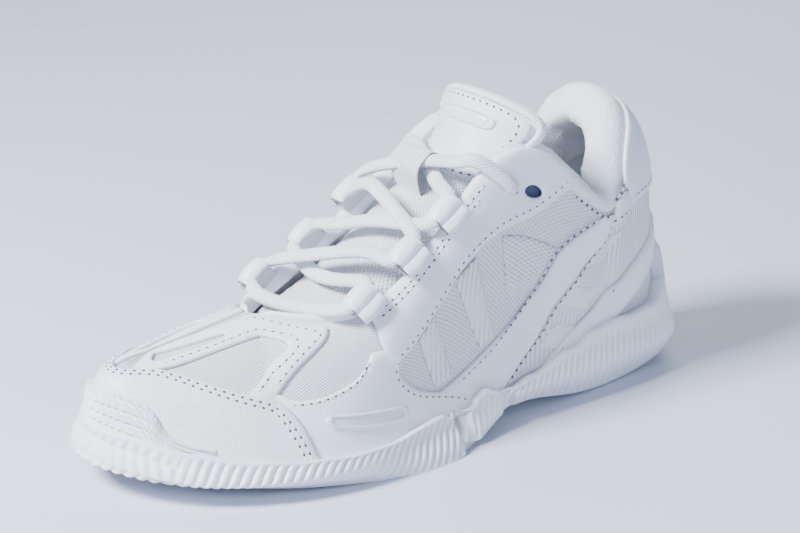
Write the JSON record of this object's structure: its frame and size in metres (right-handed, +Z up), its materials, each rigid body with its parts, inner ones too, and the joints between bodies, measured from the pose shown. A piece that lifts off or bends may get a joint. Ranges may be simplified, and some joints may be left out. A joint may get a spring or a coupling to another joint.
{
  "type": "cheer shoe",
  "caption": "Left cheer shoe: low-cut laced trainer with mesh and leather upper, ribbed rubber cupsole with separate tread pods, padded collar and folding padded tongue",
  "frame": {"origin": "bottom centre of the bounding box, on the ground under the middle of the shoe", "axes": "+X towards the heel (toe points to -X), +Y towards the medial (inner) side, +Z up"},
  "size_m": [0.2706, 0.0987, 0.1232],
  "materials": {
    "badge": "gloss",
    "board": "matte",
    "foam": "matte",
    "lace": "matte",
    "leather": "satin",
    "mesh": "matte",
    "rubber": "matte",
    "stiffener": "matte",
    "textile": "matte"
  },
  "bodies": {
    "rearfoot": {"cage_strap_front_lateral": "mesh", "cage_strap_front_medial": "mesh", "cage_strap_rear_lateral": "mesh", "cage_strap_rear_medial": "mesh", "collar_lining": "textile", "collar_padding": "textile", "eyestay_lateral": "leather", "eyestay_medial": "leather", "flex_gusset_lateral": "mesh", "flex_gusset_medial": "mesh", "front_band_lateral": "leather", "front_band_medial": "leather", "heel_counter": "stiffener", "heel_tab": "leather", "insole_board_rearfoot": "board", "lace": "lace", "lace_keeper": "lace", "lace_loop_lateral_1": "leather", "lace_loop_lateral_2": "leather", "lace_loop_lateral_3": "leather", "lace_loop_medial_1": "leather", "lace_loop_medial_2": "leather", "lace_loop_medial_3": "leather", "midsole_rearfoot": "foam", "quarter_lining_lateral": "textile", "quarter_lining_medial": "textile", "quarter_mesh_lateral": "mesh", "quarter_mesh_medial": "mesh", "quarter_patch_lateral": "mesh", "quarter_patch_medial": "mesh", "rear_band_lateral": "leather", "rear_band_medial": "leather", "shank_plate": "stiffener", "side_panel_lateral": "leather", "side_panel_medial": "leather", "sidewall_rearfoot": "rubber", "sockliner": "textile", "tongue_body": "mesh", "tread_ball": "rubber", "tread_heel": "rubber", "tread_heel_bevel": "rubber", "tread_waist_pod": "rubber", "vamp_overlay_lateral": "leather", "vamp_overlay_medial": "leather"},
    "forefoot": {"sidewall_forefoot": "rubber", "midsole_forefoot": "foam", "tread_forefoot": "rubber", "insole_board_forefoot": "board", "toe_puff": "stiffener", "vamp_lining": "textile", "vamp_mesh": "mesh", "toe_cap": "leather", "toe_bumper": "rubber"},
    "tongue_top": {"tongue_top": "leather", "tongue_panel": "leather", "tongue_lining": "textile", "tongue_badge": "badge"}
  },
  "joints": [
    {"name": "forefoot_flex", "type": "hinge", "parent": "rearfoot", "child": "forefoot", "pos_m": [-0.0577, 0.0008, 0.018], "axis": [0, 1, 0], "range_deg": [0, 20], "stiffness_Nm_per_rad": 1.5, "deforming": ["flex_gusset_lateral", "flex_gusset_medial", "side_panel_lateral", "side_panel_medial", "vamp_overlay_lateral", "vamp_overlay_medial", "sockliner"]},
    {"name": "tongue_fold", "type": "hinge", "parent": "rearfoot", "child": "tongue_top", "pos_m": [0.0273, 0.0008, 0.1025], "axis": [0, 1, 0], "range_deg": [-16, 10], "stiffness_Nm_per_rad": 0.08}
  ]
}
